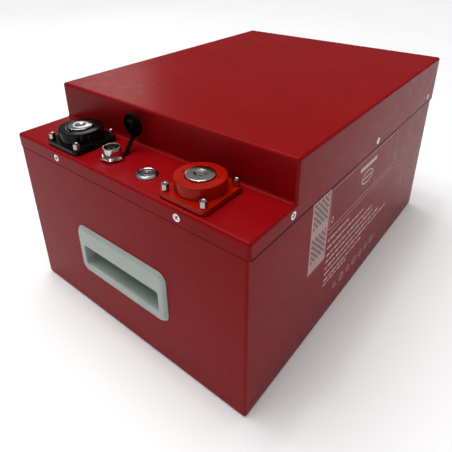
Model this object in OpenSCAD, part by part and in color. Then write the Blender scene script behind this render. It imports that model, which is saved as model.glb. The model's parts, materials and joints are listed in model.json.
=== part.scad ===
// Traction battery box: a folded sheet-steel tub with a stepped lid.
// The low front deck carries two round power terminals, a round signal connector with
// a hinged dust cap, and a push button. A recessed pull handle is set in each end.
// Inside: sixteen prismatic cells in two rows, their busbars, a battery board and cables.
// Origin: centre of the floor face. +X right, -Y is the front with the deck, +Z up.

/* [Case] */
// Width of the tub, left to right
case_w = 253; // [251:1:273]
// How far the lid overhangs the tub at each side
lid_over = 1.5; // [1:0.1:1.5]
// Length of the case, front to back
case_l = 360; // [359:1:380]
// Height of the front deck above the floor
deck_z = 157.5; // [156.5:0.5:170]
// Height of the raised top above the floor
top_z = 191; // [189:1:215]
// Depth of the deck in front of the raised top
step_d = 51.7; // [50.7:0.1:54]
// Height of the lid's skirt below the deck
skirt_h = 12.4; // [12:0.1:14]
// Thickness of the sheet metal
sheet = 1.5; // [1.2:0.1:1.6]
// Height of the foam seal in the seam under the skirt
seam_h = 0.6; // [0.3:0.1:1]
// Corner radius of the tub's and the lid's upright edges
edge_r = 2; // [1.7:0.1:3]

/* [Lid screws] */
// Distance of the end screws from the centre line
end_screw_x = 69; // [60:1:80]
// Height of the screws above the seam
screw_rise = 5.4; // [5:0.1:6.5]
// Diameter of the countersunk head
screw_head_d = 6.2; // [6:0.1:6.6]
// Nominal diameter of the lid screw
screw_d = 3; // [3:1:3]

/* [Handles] */
// Width of the handle's frame
handle_w = 107; // [106:1:110]
// Height of the handle's frame
handle_h = 48.4; // [47:0.2:50]
// Height of the handle's centre above the floor
handle_z = 68.8; // [60:0.2:78]
// How far the frame stands out of the case
handle_proud = 3; // [2.5:0.1:4]
// Depth of the finger pocket behind the case's face
pocket_d = 15.5; // [13:0.5:15.5]

/* [Terminals] */
// Distance of the positive terminal from the centre line
positive_x = 69.4; // [66:0.1:72]
// Distance of the negative terminal from the centre line
negative_x = -65; // [-72:0.1:-62]
// Distance of both terminals from the front face
terminal_inset = 24.5; // [24:0.1:26]
// Side of the square flange
flange_w = 42.5; // [41:0.5:44]
// Diameter of the round boss
boss_d = 36.7; // [35:0.1:37]
// Height of the boss above the deck
boss_h = 14.6; // [12:0.1:16]
// Spacing of the four standoffs, both ways
standoff_pitch = 34; // [34:0.5:35]
// Width across the flats of a standoff
standoff_af = 5; // [5:0.5:6]
// Diameter of the metal contact disc
contact_d = 21.2; // [20:0.1:22]
// Diameter of the tapped hole, at the tips of its M8 thread
tapped_d = 6.8; // [6.6:0.1:6.9]

/* [Signal connector and cap] */
// Position of the connector from the centre line
connector_x = -19.5; // [-21:0.5:-18]
// Distance of the connector from the front face
connector_inset = 20.3; // [20:0.1:20.6]
// Outside diameter of the connector's barrel
barrel_d = 14.4; // [14.2:0.1:14.6]
// Inside diameter of the connector's barrel
socket_d = 12.4; // [12.3:0.1:12.6]
// Height of the barrel's rim above the deck
rim_h = 10.5; // [10.4:0.1:10.8]
// Number of contact pins around the centre pin
ring_pins = 6; // [4:1:8]
// Diameter of the rubber dust cap
cap_d = 20; // [19.5:0.5:20.5]
// How far the cap swings from the wall down onto the connector, in degrees
cap_swing = 90; // [90:1:90]

/* [Push button] */
// Position of the button from the centre line
button_x = 20.8; // [19:0.1:24]
// Distance of the button from the front face
button_inset = 19.3; // [18:0.1:22]
// Diameter of the bezel's head
bezel_d = 17.5; // [17.5:0.5:20]
// Diameter of the moving plunger
plunger_d = 12; // [11:0.5:12]
// Travel of the plunger
button_travel = 1.5; // [1:0.1:2]

/* [Cells] */
// Thickness of one cell, along the case's width
cell_t = 26.7; // [26:0.1:26.8]
// Length of one cell, along the case's length
cell_len = 148; // [147:0.1:148.2]
// Height of one cell without its terminals
cell_h = 128.5; // [120:0.5:129]
// Thickness of the sheet between neighbouring cells
spacer_t = 0.7; // [0.5:0.1:0.7]
// Cells in each of the two rows
row_cells = 8; // [8:1:8]
// Thickness of the aluminium end plates
end_plate_t = 4; // [3:0.5:4]

/* [Electronics] */
// Width of the battery board
board_w = 130; // [110:1:136]
// Length of the battery board
board_l = 100; // [90:1:110]
// Number of fins on the heat sink
fin_count = 11; // [7:1:13]
// Diameter of the power cables
power_cable_d = 9; // [7:0.5:9]
// Diameter of the signal leads
lead_d = 4; // [3:0.5:4]

/* [Hidden] */
CELL_NODES = [for (n = [1 : 2 * row_cells]) str("cell_", n)];

$fn = 48;
eps = 0.01;
slip = 0.05;

// Case
seam_z = deck_z - skirt_h;
front_y = -case_l / 2;
riser_y = front_y + step_d;
in_w = case_w - 2 * sheet;
lid_w = case_w + 2 * lid_over;
in_l = case_l - 2 * sheet;
deck_under = deck_z - sheet;
rim_low = seam_z - 22;
rim_top = deck_under - 0.5;

// Lid screws, as [position, rotation that turns +Z to the face's outward normal]
screw_z = seam_z + screw_rise;
side_screw_y = [riser_y - 2.7, riser_y + 142.3, riser_y + 287.3];
screw_len = 10;
head_depth = (screw_head_d - screw_d) / 2;
lid_nut_d = 7;
lid_nut_t = 3.2;
LID_FIXINGS = concat(
    [for (end = [-1, 1]) for (side = [-1, 1])
        [[side * end_screw_x, end * case_l / 2, screw_z], [-90 * end, 0, 0]]],
    [for (side = [-1, 1]) for (y = side_screw_y)
        [[side * lid_w / 2, y, screw_z], [0, 90 * side, 0]]]);

// Handles
handle_r = 8;
pocket_wall = 1.6;
pocket_w = 94.2;
pocket_low = handle_z - 17.4;
pocket_high = handle_z + 20.4;
mouth_low = handle_z - 14.8;
mouth_high = handle_z + 5.2;
mouth_w = pocket_w - 2 * pocket_wall;
stud_x = (handle_w - 5.4) / 2;
stud_d = 3;
stud_len = 8;

// Hexagon nuts and standoffs: radius over the corners from the width across flats
function hex_r(across_flats) = across_flats / sqrt(3);
m3_nut_af = 5.5;
m3_nut_t = 2.4;

// Terminals
terminal_y = front_y + terminal_inset;
TERMINALS = [[positive_x, terminal_y], [negative_x, terminal_y]];
pad_t = 0.5;
flange_t = 4;
flange_r = 5;
neck_d = 20;
neck_drop = 4;
contact_rise = 1.4;
contact_seat = 2.6;
stem_d = 12;
stem_low = deck_z - 17.5;
standoff_h = 5.2;
standoff_hole_d = 2.5;
standoff_hole_depth = 4.5;
tapped_depth = 18;
mouth_d = 9.5;
lug_t = 3;
lug_d = 24;
lug_barrel_d = 12;
lug_barrel_z = deck_under - 0.5 - lug_barrel_d / 2;
lug_barrel_len = 27.5;
stem_nut_af = 19;
stem_nut_t = 8;

// Connector and its cap. The cap is drawn closed, then swung up to its rest at the wall.
connector_y = front_y + connector_inset;
shell_low = deck_z - 12;
shell_flange_d = 18;
shell_flange_t = 2;
seal_t = 0.8;
strap_t = 0.6;
strap_w = 4;
strap_turn = 75;
cord_r = 1;
cord_root = 11.2;
link_t = 1.2;
ring_d = 18;
front_nut_af = 17;
front_nut_t = 3;
front_nut_turn = 10;
insert_top = 3.8;
insert_low = -10;
pin_d = 1;
pin_top = 7.4;
pin_low = -15;
pin_circle_r = 3.6;
cap_gap = 0.3;
cap_t = 3;
plug_d1 = 10.4;
plug_d2 = 8.4;
plug_h = 2.8;
hinge_y = connector_y + 15.8;
hinge_z = deck_z + 5.3;
eye_r = 1.2;

// Push button
button_y = front_y + button_inset;
bezel_h = 2;
bezel_barrel_d = 16;
bezel_bore_d = 13.8;
bezel_low = deck_z - 22;
step_below = 2;
plunger_flange_d = 13.4;
plunger_flange_t = 3;
plunger_low = deck_z - step_below - slip - plunger_flange_t;
switch_top = plunger_low - button_travel - 5.5;
switch_low = bezel_low - 4;
spring_d = 9;
spring_wire_d = 0.8;
spring_turns = 4;
button_nut_af = 19;
button_nut_t = 3;

// Cells
pad_h = 3;
cell_z = sheet + pad_h;
cell_top = cell_z + cell_h;
cell_pitch = cell_t + spacer_t;
row_gap = 1;
rows_mid = front_y + 194.8;
row_y = [rows_mid - (cell_len + row_gap) / 2, rows_mid + (cell_len + row_gap) / 2];
post_off = cell_len / 2 - 16;
post_w = 16;
post_l = 20;
post_h = 3;
vent_d = 14;
vent_rise = 0.6;
can_wall = 1.2;
headspace_h = 30;
bar_t = 2;
block_w = row_cells * cell_pitch - spacer_t;
plate_x = block_w / 2 + spacer_t;
tray_z = cell_top + post_h + bar_t + 3;
tray_t = 2;
strap_band_w = 12;
strap_band_t = 0.4;

// Electronics
board_x = 5;
board_y = rows_mid + 55;
board_z = tray_z + tray_t + 6;
board_t = 1.6;
sink_base_t = 4;
sink_h = 24;
fuse_y = riser_y + 53;
fuse_l = 44;
fuse_d = 18;
fuse_z = lug_barrel_z;
blade_l = 15;
lead_z = deck_z - 27;

function cell_x(i) = (i - (row_cells - 1) / 2) * cell_pitch;

// Outline of a rounded rectangle, its corners drawn as short chords
function rounded(w, h, r, chords = 6) = [
    for (corner = [0 : 3], k = [0 : chords])
    let (a = 90 * (corner + k / chords),
         cx = (corner == 0 || corner == 3 ? 1 : -1) * (w / 2 - r),
         cy = (corner < 2 ? 1 : -1) * (h / 2 - r))
    [cx + r * cos(a), cy + r * sin(a)]
];

// Catmull-Rom curve through a list of points
function spline_point(a, b, c, d, t) =
    0.5 * (2 * b + (c - a) * t + (2 * a - 5 * b + 4 * c - d) * t * t
           + (3 * b - 3 * c + d - a) * t * t * t);
function smooth(path, steps) = concat(
    [for (i = [0 : len(path) - 2], k = [0 : steps - 1])
        spline_point(path[max(i - 1, 0)], path[i], path[i + 1],
                     path[min(i + 2, len(path) - 1)], k / steps)],
    [path[len(path) - 1]]);

function unit(v) = v / norm(v);
function heading(path, i) = unit(path[min(i + 1, len(path) - 1)] - path[max(i - 1, 0)]);

// Tube of radius r along a path that is never upright
module tube(path, r, sides = 8) {
    rings = len(path);
    points = [for (i = [0 : rings - 1])
        let (t = heading(path, i), u = unit(cross(t, [0, 0, 1])), v = cross(u, t))
        for (k = [0 : sides - 1])
            path[i] + r * (cos(360 * k / sides) * u + sin(360 * k / sides) * v)];
    walls = [for (i = [0 : rings - 2], k = [0 : sides - 1])
        let (a = i * sides + k, b = i * sides + (k + 1) % sides)
        [a, b, b + sides, a + sides]];
    first = [[for (k = [sides - 1 : -1 : 0]) k]];
    last = [[for (k = [0 : sides - 1]) (rings - 1) * sides + k]];
    polyhedron(points, concat(first, walls, last));
}

module block(low, high) {
    translate(low) cube(high - low);
}

module rounded_post(w, l, r, z0, z1) {
    translate([0, 0, z0]) linear_extrude(z1 - z0) polygon(rounded(w, l, r));
}

module rod(d, z0, z1, sides = 48) {
    translate([0, 0, z0]) cylinder(d = d, h = z1 - z0, $fn = sides);
}

module hex_post(across_flats, z0, z1) {
    translate([0, 0, z0]) cylinder(r = hex_r(across_flats), h = z1 - z0, $fn = 6);
}

module at_lid_fixings() {
    for (f = LID_FIXINGS) translate(f[0]) rotate(f[1]) children();
}

module at_standoffs() {
    for (sx = [-1, 1], sy = [-1, 1])
        translate([sx, sy, 0] * standoff_pitch / 2) children();
}

module at_terminals() {
    for (t = TERMINALS) translate(t) children();
}

module at_connector() {
    translate([connector_x, connector_y, deck_z]) children();
}

module at_button() {
    translate([button_x, button_y, 0]) children();
}

// ---- Case ----

module handle_window() {
    block([-pocket_w / 2 - 0.3, front_y - 1, pocket_low - 0.3],
          [pocket_w / 2 + 0.3, front_y + sheet + 1, pocket_high + 0.3]);
    for (side = [-1, 1])
        translate([side * stud_x, front_y, handle_z]) rotate([90, 0, 0])
            rod(stud_d + 0.4, -sheet - 1, 1);
}

module case_tub() {
    color("firebrick") difference() {
        rounded_post(case_w, case_l, edge_r, 0, seam_z - seam_h);
        rounded_post(in_w, in_l, edge_r - sheet + 0.2, sheet, seam_z + 1);
        handle_window();
        mirror([0, 1, 0]) handle_window();
    }
}

// Joggled frame: its lower band lines the tub, its upper band lines the wider lid
module rim_frame() {
    upper_w = lid_w - 2 * sheet;
    shelf_top = seam_z + sheet;
    color("gainsboro") difference() {
        union() {
            rounded_post(in_w, in_l, 0.7, rim_low, shelf_top);
            rounded_post(upper_w, in_l, 0.7, seam_z, rim_top);
        }
        rounded_post(in_w - 2 * sheet, in_l - 2 * sheet, 0.5, rim_low - 1, shelf_top + 1);
        rounded_post(upper_w - 2 * sheet, in_l - 2 * sheet, 0.5, shelf_top, rim_top + 1);
        at_lid_fixings() rod(screw_d + 1.4, -2 * sheet - 1, 0);
    }
}

// Side outline of the lid, shrunk by t on every outer face
module lid_profile(t) {
    polygon([
        [front_y + t, seam_z - t],
        [front_y + t, deck_z - t],
        [riser_y + t, deck_z - t],
        [riser_y + t, top_z - t],
        [-front_y - t, top_z - t],
        [-front_y - t, seam_z - t]]);
}

module lid_prism(t) {
    rotate([90, 0, 90]) linear_extrude(lid_w - 2 * t, center = true) lid_profile(t);
}

module lid() {
    color("firebrick") difference() {
        intersection() {
            lid_prism(0);
            rounded_post(lid_w, case_l, edge_r, seam_z - 1, top_z + 1);
        }
        lid_prism(sheet);
        at_lid_fixings() {
            translate([0, 0, -head_depth])
                cylinder(d1 = screw_d + 0.2, d2 = screw_head_d + 0.2, h = head_depth);
            rod(screw_d + 0.6, -2 * sheet, -head_depth + 0.2);
            rod(screw_head_d + 0.2, 0, 1);
        }
        at_terminals() {
            rod(neck_d + 0.4, deck_under - 1, deck_z + 1);
            at_standoffs() rod(stud_d + 0.4, deck_under - 1, deck_z + 1);
        }
        at_connector() rod(barrel_d + 0.2, -sheet - 1, 1);
        at_button() rod(bezel_barrel_d + 0.2, deck_under - 1, deck_z + 1);
    }
}

module seam_gasket() {
    inset = 0.25;
    color("black") difference() {
        rounded_post(case_w - 2 * inset, case_l - 2 * inset, edge_r, seam_z - seam_h, seam_z);
        rounded_post(in_w + slip, in_l + slip, edge_r - sheet + 0.2, seam_z - 1, seam_z + 1);
    }
}

module lid_screws() {
    recess_w = 0.9;
    recess_l = 3.6;
    recess_depth = 0.9;
    color("white") at_lid_fixings() difference() {
        union() {
            translate([0, 0, -head_depth])
                cylinder(d1 = screw_d, d2 = screw_head_d, h = head_depth);
            rod(screw_d, -screw_len, -head_depth + eps);
        }
        for (a = [45, 135]) rotate([0, 0, a])
            block([-recess_l / 2, -recess_w / 2, -recess_depth],
                  [recess_l / 2, recess_w / 2, 1]);
    }
}

module lid_nuts() {
    color("silver") at_lid_fixings() difference() {
        rod(lid_nut_d, -2 * sheet - lid_nut_t, -2 * sheet);
        rod(screw_d + 2 * slip, -2 * sheet - lid_nut_t - 1, -2 * sheet + 1);
    }
}

// ---- Handles ----

// One recessed pull, set in the front wall: a raised frame, a broad grip lip above the
// mouth, a closed pocket that runs up behind the lip, and two threaded studs
module handle_body() {
    color("darkgray") difference() {
        union() {
            translate([0, front_y, handle_z]) rotate([90, 0, 0])
                rounded_post(handle_w, handle_h, handle_r, 0, handle_proud);
            block([-pocket_w / 2, front_y - eps, pocket_low],
                  [pocket_w / 2, front_y + pocket_d, pocket_high]);
            for (side = [-1, 1])
                translate([side * stud_x, front_y, handle_z]) rotate([90, 0, 0])
                    rod(stud_d, -stud_len, eps);
        }
        block([-mouth_w / 2, front_y + 1.5, pocket_low + pocket_wall],
              [mouth_w / 2, front_y + pocket_d - pocket_wall, pocket_high - pocket_wall]);
        block([-mouth_w / 2, front_y - handle_proud - 1, mouth_low],
              [mouth_w / 2, front_y + pocket_d - pocket_wall, mouth_high]);
    }
}

module front_handle() {
    handle_body();
}

module rear_handle() {
    mirror([0, 1, 0]) handle_body();
}

module handle_nuts() {
    color("silver") for (end = [0, 1], side = [-1, 1]) mirror([0, end, 0])
        translate([side * stud_x, front_y + sheet, handle_z]) rotate([-90, 0, 0])
            difference() {
                rotate([0, 0, 30]) hex_post(m3_nut_af, 0, m3_nut_t);
                rod(stud_d + 2 * slip, -1, m3_nut_t + 1);
            }
}

module side_label() {
    label_l = 28.5;
    label_h = 68;
    label_y = front_y + 94.2;
    label_z = 109;
    color("mistyrose")
        translate([case_w / 2, label_y, label_z]) rotate([0, 90, 0])
            linear_extrude(0.15) polygon(rounded(label_h, label_l, 1, 3));
}

// ---- Terminals ----

module terminal_base() {
    difference() {
        union() {
            rounded_post(flange_w, flange_w, flange_r, deck_z + pad_t, deck_z + pad_t + flange_t);
            rod(boss_d, deck_z + pad_t + 1, deck_z + boss_h);
            rod(neck_d, deck_under - neck_drop, deck_z + pad_t + 1);
        }
        rod(contact_d + 2 * slip, deck_z + boss_h - contact_seat, deck_z + boss_h + 1);
        rod(stem_d + 2 * slip, deck_under - neck_drop - 1, deck_z + boss_h);
        at_standoffs() rod(stud_d + 0.2, deck_z, deck_z + pad_t + flange_t + 1);
    }
}

module terminal_insert() {
    top = deck_z + boss_h + contact_rise;
    color("lightgray") difference() {
        union() {
            rod(contact_d, deck_z + boss_h - contact_seat, top);
            rod(stem_d, stem_low, deck_z + boss_h - contact_seat + eps);
        }
        rod(tapped_d, top - tapped_depth, top + 1);
        translate([0, 0, top - (mouth_d - tapped_d) / 2])
            cylinder(d1 = tapped_d, d2 = mouth_d, h = (mouth_d - tapped_d) / 2 + eps);
    }
}

module terminal_standoffs() {
    foot = deck_z + pad_t + flange_t;
    color("silver") at_standoffs() difference() {
        union() {
            hex_post(standoff_af, foot, foot + standoff_h);
            rod(stud_d, deck_under - m3_nut_t - 1.6, foot + eps);
        }
        rod(standoff_hole_d, foot + standoff_h - standoff_hole_depth, foot + standoff_h + 1);
    }
}

module positive_base() {
    color("orangered") translate(TERMINALS[0]) terminal_base();
}

module negative_base() {
    color("black") translate(TERMINALS[1]) terminal_base();
}

module positive_insert() {
    translate(TERMINALS[0]) terminal_insert();
}

module negative_insert() {
    translate(TERMINALS[1]) terminal_insert();
}

module positive_standoffs() {
    translate(TERMINALS[0]) terminal_standoffs();
}

module negative_standoffs() {
    translate(TERMINALS[1]) terminal_standoffs();
}

module terminal_gaskets() {
    color("black") at_terminals() difference() {
        rounded_post(flange_w, flange_w, flange_r, deck_z, deck_z + pad_t);
        rod(neck_d + 0.4, deck_z - 1, deck_z + 1);
        at_standoffs() rod(stud_d + 0.4, deck_z - 1, deck_z + 1);
    }
}

// The small nuts under the flanges and the large nuts that clamp the cable lugs
module terminal_nuts() {
    lug_under = deck_under - neck_drop - lug_t;
    color("silver") at_terminals() {
        at_standoffs() difference() {
            hex_post(m3_nut_af, deck_under - m3_nut_t, deck_under);
            rod(stud_d + 2 * slip, deck_under - m3_nut_t - 1, deck_under + 1);
        }
        difference() {
            hex_post(stem_nut_af, lug_under - stem_nut_t, lug_under);
            rod(stem_d + 2 * slip, lug_under - stem_nut_t - 1, lug_under + 1);
        }
    }
}

module cable_lugs() {
    lug_top = deck_under - neck_drop;
    color("peru") at_terminals() difference() {
        union() {
            rod(lug_d, lug_top - lug_t, lug_top);
            translate([0, lug_d / 2 - 2, lug_barrel_z]) rotate([-90, 0, 0])
                rod(lug_barrel_d, 0, lug_barrel_len - lug_d / 2 + 2);
        }
        rod(stem_d + 2 * slip, lug_top - lug_t - 1, lug_top + 1);
    }
}

// ---- Signal connector and dust cap ----

module connector_shell() {
    color("gainsboro") at_connector() difference() {
        union() {
            rod(barrel_d, shell_low - deck_z, rim_h);
            rod(shell_flange_d, -sheet - seal_t - shell_flange_t, -sheet - seal_t);
        }
        rod(socket_d, shell_low - deck_z - 1, rim_h + 1);
    }
}

module connector_nut() {
    color("gainsboro") at_connector() difference() {
        rotate([0, 0, front_nut_turn]) hex_post(front_nut_af, strap_t, strap_t + front_nut_t);
        rod(barrel_d + 2 * slip, 0, strap_t + front_nut_t + 1);
    }
}

module at_pins() {
    children();
    for (k = [0 : ring_pins - 1])
        rotate([0, 0, 360 * k / ring_pins]) translate([pin_circle_r, 0, 0]) children();
}

module connector_insert() {
    color("dimgray") at_connector() difference() {
        rod(socket_d - 2 * slip, insert_low, insert_top);
        at_pins() rod(pin_d + 2 * slip, insert_low - 1, insert_top + 1, 24);
    }
}

module connector_pins() {
    color("gold") at_connector() at_pins() rod(pin_d, pin_low, pin_top, 24);
}

module connector_seal() {
    color("black") at_connector() difference() {
        rod(shell_flange_d, -sheet - seal_t, -sheet);
        rod(barrel_d + 2 * slip, -sheet - 1 - seal_t, 0);
    }
}

// Flat ring under the nut, with a tongue and a cord that climbs from it to the cap's hinge
module cap_strap() {
    root = [connector_x + cord_root * cos(strap_turn),
            connector_y + cord_root * sin(strap_turn), deck_z + cord_r];
    knee = [connector_x + 2, hinge_y - 3.2, deck_z + 2.9];
    tip = [connector_x + 0.8, hinge_y - 2, hinge_z - 1.3];
    color("black") union() {
        at_connector() difference() {
            union() {
                rod(ring_d, 0, strap_t);
                rotate([0, 0, strap_turn])
                    block([0, -strap_w / 2, 0], [cord_root + 0.5, strap_w / 2, strap_t]);
            }
            rod(barrel_d + 2 * slip, -1, strap_t + 1);
        }
        tube(smooth([root, knee, tip], 4), cord_r);
    }
}

// Turns a shape drawn in the closed position to its rest, standing at the wall
module swung_open() {
    translate([0, hinge_y, hinge_z]) rotate([-cap_swing, 0, 0])
        translate([0, -hinge_y, -hinge_z]) children();
}

module cap_link() {
    reach = cap_d / 2 - (hinge_y - connector_y);
    lift = deck_z + rim_h + cap_gap + cap_t / 2 - hinge_z;
    slope = atan2(lift, reach);
    color("black") swung_open()
        translate([connector_x - strap_w / 2, hinge_y, hinge_z]) rotate([slope, 0, 0]) union() {
            rotate([0, 90, 0]) rod(2 * eye_r, 0, strap_w);
            block([0, 0, -link_t / 2], [strap_w, norm([reach, lift]) - link_t / 2, link_t / 2]);
        }
}

module dust_cap() {
    under = rim_h + cap_gap;
    color("black") swung_open() at_connector() union() {
        rod(cap_d, under, under + cap_t);
        translate([0, 0, under - plug_h])
            cylinder(d1 = plug_d2, d2 = plug_d1, h = plug_h + eps);
    }
}

// ---- Push button ----

module button_bezel() {
    rim_chamfer = 0.8;
    color("gainsboro") at_button() difference() {
        union() {
            rod(bezel_d, deck_z, deck_z + bezel_h - rim_chamfer);
            translate([0, 0, deck_z + bezel_h - rim_chamfer])
                cylinder(d1 = bezel_d, d2 = bezel_d - 4 * rim_chamfer, h = rim_chamfer);
            rod(bezel_barrel_d, bezel_low, deck_z + eps);
        }
        rod(plunger_d + 0.2, deck_z - step_below - 1, deck_z + bezel_h + 1);
        rod(bezel_bore_d, bezel_low - 1, deck_z - step_below);
    }
}

module button_plunger() {
    color("silver") at_button() union() {
        rod(plunger_d, plunger_low + 1, deck_z + bezel_h - 0.2);
        rod(plunger_flange_d, plunger_low, plunger_low + plunger_flange_t);
    }
}

module button_spring() {
    coil_steps = 12;
    low = switch_top + spring_wire_d / 2;
    high = plunger_low - spring_wire_d / 2;
    steps = spring_turns * coil_steps;
    color("silver") at_button()
        tube([for (i = [0 : steps]) let (a = 360 * i / coil_steps)
                 [spring_d / 2 * cos(a), spring_d / 2 * sin(a), low + (high - low) * i / steps]],
             spring_wire_d / 2 - 0.05, 6);
}

module button_nut() {
    color("silver") at_button() difference() {
        hex_post(button_nut_af, deck_under - button_nut_t, deck_under);
        rod(bezel_barrel_d + 2 * slip, deck_under - button_nut_t - 1, deck_under + 1);
    }
}

module button_switch() {
    color("dimgray") at_button() union() {
        rod(bezel_bore_d - 2 * slip, switch_low, switch_top);
        for (side = [-1, 1])
            block([side * 3 - 0.4, -1.5, switch_low - 6], [side * 3 + 0.4, 1.5, switch_low + eps]);
    }
}

// ---- Cells ----

// One cell: a can with two raised posts, a vent disc between them and a sealed headspace
module cell(n) {
    row = n > row_cells ? 1 : 0;
    i = (n - 1) % row_cells;
    color("royalblue") translate([cell_x(i), row_y[row], 0]) difference() {
        union() {
            block([-cell_t / 2, -cell_len / 2, cell_z], [cell_t / 2, cell_len / 2, cell_top]);
            for (end = [-1, 1])
                block([-post_w / 2, end * post_off - post_l / 2, cell_top - eps],
                      [post_w / 2, end * post_off + post_l / 2, cell_top + post_h]);
            rod(vent_d, cell_top - eps, cell_top + vent_rise);
        }
        block([-cell_t / 2 + can_wall, -cell_len / 2 + can_wall, cell_top - can_wall - headspace_h],
              [cell_t / 2 - can_wall, cell_len / 2 - can_wall, cell_top - can_wall]);
    }
}

module foam_pads() {
    side_t = in_w / 2 - plate_x - end_plate_t - 0.6;
    rear_l = in_l / 2 - (row_y[1] + cell_len / 2) - 1.2;
    pad_len = 2 * cell_len - 20;
    color("dimgray") union() {
        block([-in_w / 2 + 1, front_y + 20, sheet], [in_w / 2 - 1, -front_y - 20, cell_z]);
    }
    color("dimgray") for (side = [0, 1]) mirror([side, 0, 0]) {
        block([in_w / 2 - side_t, rows_mid - pad_len / 2, cell_z + 4],
              [in_w / 2, rows_mid + pad_len / 2, rim_low - 2]);
        block([pocket_w / 2 + 18, -front_y - sheet - rear_l, cell_z + 4],
              [pocket_w / 2 + 50, -front_y - sheet, rim_low - 2]);
    }
}

module cell_spacers() {
    color("ivory") {
        for (row = [0, 1], i = [0 : row_cells - 2])
            translate([cell_x(i) + cell_t / 2, row_y[row], 0])
                block([0, -cell_len / 2, cell_z], [spacer_t, cell_len / 2, cell_top]);
        for (side = [-1, 1])
            translate([side * (plate_x - spacer_t / 2), rows_mid, 0])
                block([-spacer_t / 2, -cell_len, cell_z], [spacer_t / 2, cell_len, cell_top]);
        block([-block_w / 2, rows_mid - row_gap / 2, cell_z],
              [block_w / 2, rows_mid + row_gap / 2, cell_top]);
    }
}

module end_plates() {
    half_l = cell_len + row_gap / 2;
    color("silver") for (side = [0, 1]) mirror([side, 0, 0])
        block([plate_x, rows_mid - half_l, cell_z],
              [plate_x + end_plate_t, rows_mid + half_l, tray_z]);
}

// Two flat steel bands around the whole block, above and below the handle pockets
module cell_straps() {
    half_l = cell_len + row_gap / 2;
    half_w = plate_x + end_plate_t;
    color("gray") for (z = [cell_z + 16, cell_z + 96]) difference() {
        block([-half_w - strap_band_t, rows_mid - half_l - strap_band_t, z],
              [half_w + strap_band_t, rows_mid + half_l + strap_band_t, z + strap_band_w]);
        block([-half_w, rows_mid - half_l, z - 1],
              [half_w, rows_mid + half_l, z + strap_band_w + 1]);
    }
}

// Series links: the two rows run in opposite directions and join at the left end
module busbars() {
    z = cell_top + post_h;
    bar_l = cell_pitch + post_w;
    color("darkorange") {
        for (row = [0, 1], i = [0 : row_cells - 2])
            let (inner = row == 0 ? 1 : -1, side = i % 2 == 0 ? -inner : inner)
            translate([(cell_x(i) + cell_x(i + 1)) / 2, row_y[row] + side * post_off, z])
                block([-bar_l / 2, -post_l / 2, 0], [bar_l / 2, post_l / 2, bar_t]);
        translate([cell_x(0), rows_mid, z])
            block([-post_w / 2, -26.5, 0], [post_w / 2, 26.5, bar_t]);
    }
}

// ---- Electronics ----

module board_posts(d, z0, z1) {
    for (sx = [-1, 1], sy = [-1, 1])
        translate([board_x + sx * (board_w / 2 - 5), board_y + sy * (board_l / 2 - 5), 0])
            rod(d, z0, z1, 24);
}

module bms_tray() {
    tray_half = plate_x + end_plate_t;
    post_x = cell_x(row_cells - 1);
    color("ivory") difference() {
        union() {
            block([-tray_half, riser_y + sheet + 3, tray_z],
                  [tray_half, rows_mid + cell_len - 6, tray_z + tray_t]);
            board_posts(8, tray_z + eps, board_z);
        }
        block([post_x - 12, rows_mid - 32, tray_z - 1], [post_x + 12, rows_mid + 32, tray_z + 3]);
    }
}

module bms_board() {
    top = board_z + board_t;
    color("darkgreen") translate([board_x, board_y, 0]) union() {
        block([-board_w / 2, -board_l / 2, board_z], [board_w / 2, board_l / 2, top]);
        for (k = [0 : 2])
            block([-board_w / 2 + 12 + 26 * k, board_l / 2 - 12, top - eps],
                  [-board_w / 2 + 32 + 26 * k, board_l / 2 - 4, top + 7]);
        block([-board_w / 2 + 4, -board_l / 2 + 2, top - eps],
              [-board_w / 2 + 24, -board_l / 2 + 14, top + 9]);
        block([board_w / 2 - 16, -board_l / 2 + 20, top - eps],
              [board_w / 2 - 2, -board_l / 2 + 40, top + 9]);
    }
}

module bms_heatsink() {
    base = board_z + board_t;
    sink_w = board_w - 40;
    sink_l = board_l - 38;
    fin_t = 1.6;
    fin_step = (sink_w - fin_t) / (fin_count - 1);
    color("silver") translate([board_x + 2, board_y, 0]) union() {
        block([-sink_w / 2, -sink_l / 2, base], [sink_w / 2, sink_l / 2, base + sink_base_t]);
        for (k = [0 : fin_count - 1]) translate([-sink_w / 2 + k * fin_step, 0, 0])
            block([0, -sink_l / 2, base + sink_base_t - eps], [fin_t, sink_l / 2, base + sink_h]);
    }
}

module fuse() {
    color("dimgray") translate([positive_x, fuse_y, fuse_z]) rotate([-90, 0, 0]) union() {
        rod(fuse_d - 7, -fuse_l / 2, fuse_l / 2);
        for (end = [-1, 1])
            block([-8, -1.5, end < 0 ? -fuse_l / 2 - blade_l : fuse_l / 2 - eps],
                  [8, 1.5, end < 0 ? -fuse_l / 2 + eps : fuse_l / 2 + blade_l]);
    }
}

// Lug to fuse, and fuse to the positive end of the cell chain
module positive_cable() {
    z = lug_barrel_z;
    start_y = terminal_y + lug_barrel_len;
    fuse_front = fuse_y - fuse_l / 2 - blade_l;
    fuse_back = fuse_y + fuse_l / 2 + blade_l;
    end_x = cell_x(row_cells - 1);
    end_y = row_y[0] + post_off;
    post_top = cell_top + post_h;
    color("red") {
        tube([[positive_x, start_y, z], [positive_x, (start_y + fuse_front) / 2, z],
              [positive_x, fuse_front, z]], power_cable_d / 2 - 0.2);
        tube(smooth([[positive_x, fuse_back, z], [positive_x, fuse_back + 4, z],
                     [positive_x, fuse_back + 8, z],
                     [end_x - 8, end_y - 24, z + 1], [end_x, end_y - 9, z - 3],
                     [end_x, end_y + 4, post_top + power_cable_d / 2]], 4), power_cable_d / 2 - 0.2);
    }
}

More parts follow.
